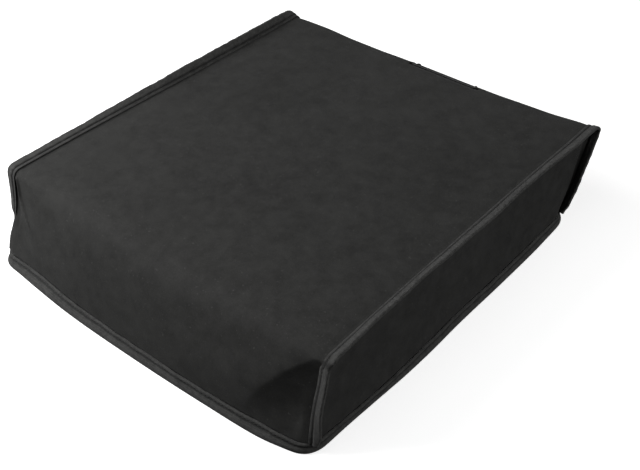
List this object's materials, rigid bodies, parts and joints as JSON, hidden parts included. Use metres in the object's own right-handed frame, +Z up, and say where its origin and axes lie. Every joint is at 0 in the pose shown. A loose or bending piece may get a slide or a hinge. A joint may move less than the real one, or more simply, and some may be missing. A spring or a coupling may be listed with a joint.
{
  "type": "game console dust cover",
  "caption": "Fitted cloth dust cover for a game console: soft front edge, outward seams bound with tape, bound hem and an off-centre cable notch in the back.",
  "frame": {"origin": "middle of the overall footprint, on the plane that the hem stands on", "axes": "+Z up, +X to the right as seen from the front, +Y from the soft front edge to the notched back"},
  "size_m": [0.3342, 0.3538, 0.0891],
  "materials": {
    "cloth": "coated weave, near-black, low sheen",
    "tape": "folded woven binding tape, dark grey, matt"
  },
  "bodies": {
    "root": {"main_panel": "cloth", "side_panel_left": "cloth", "side_panel_right": "cloth", "binding_left": "tape", "binding_right": "tape", "hem_binding": "tape", "notch_binding": "tape"}
  },
  "joints": []
}
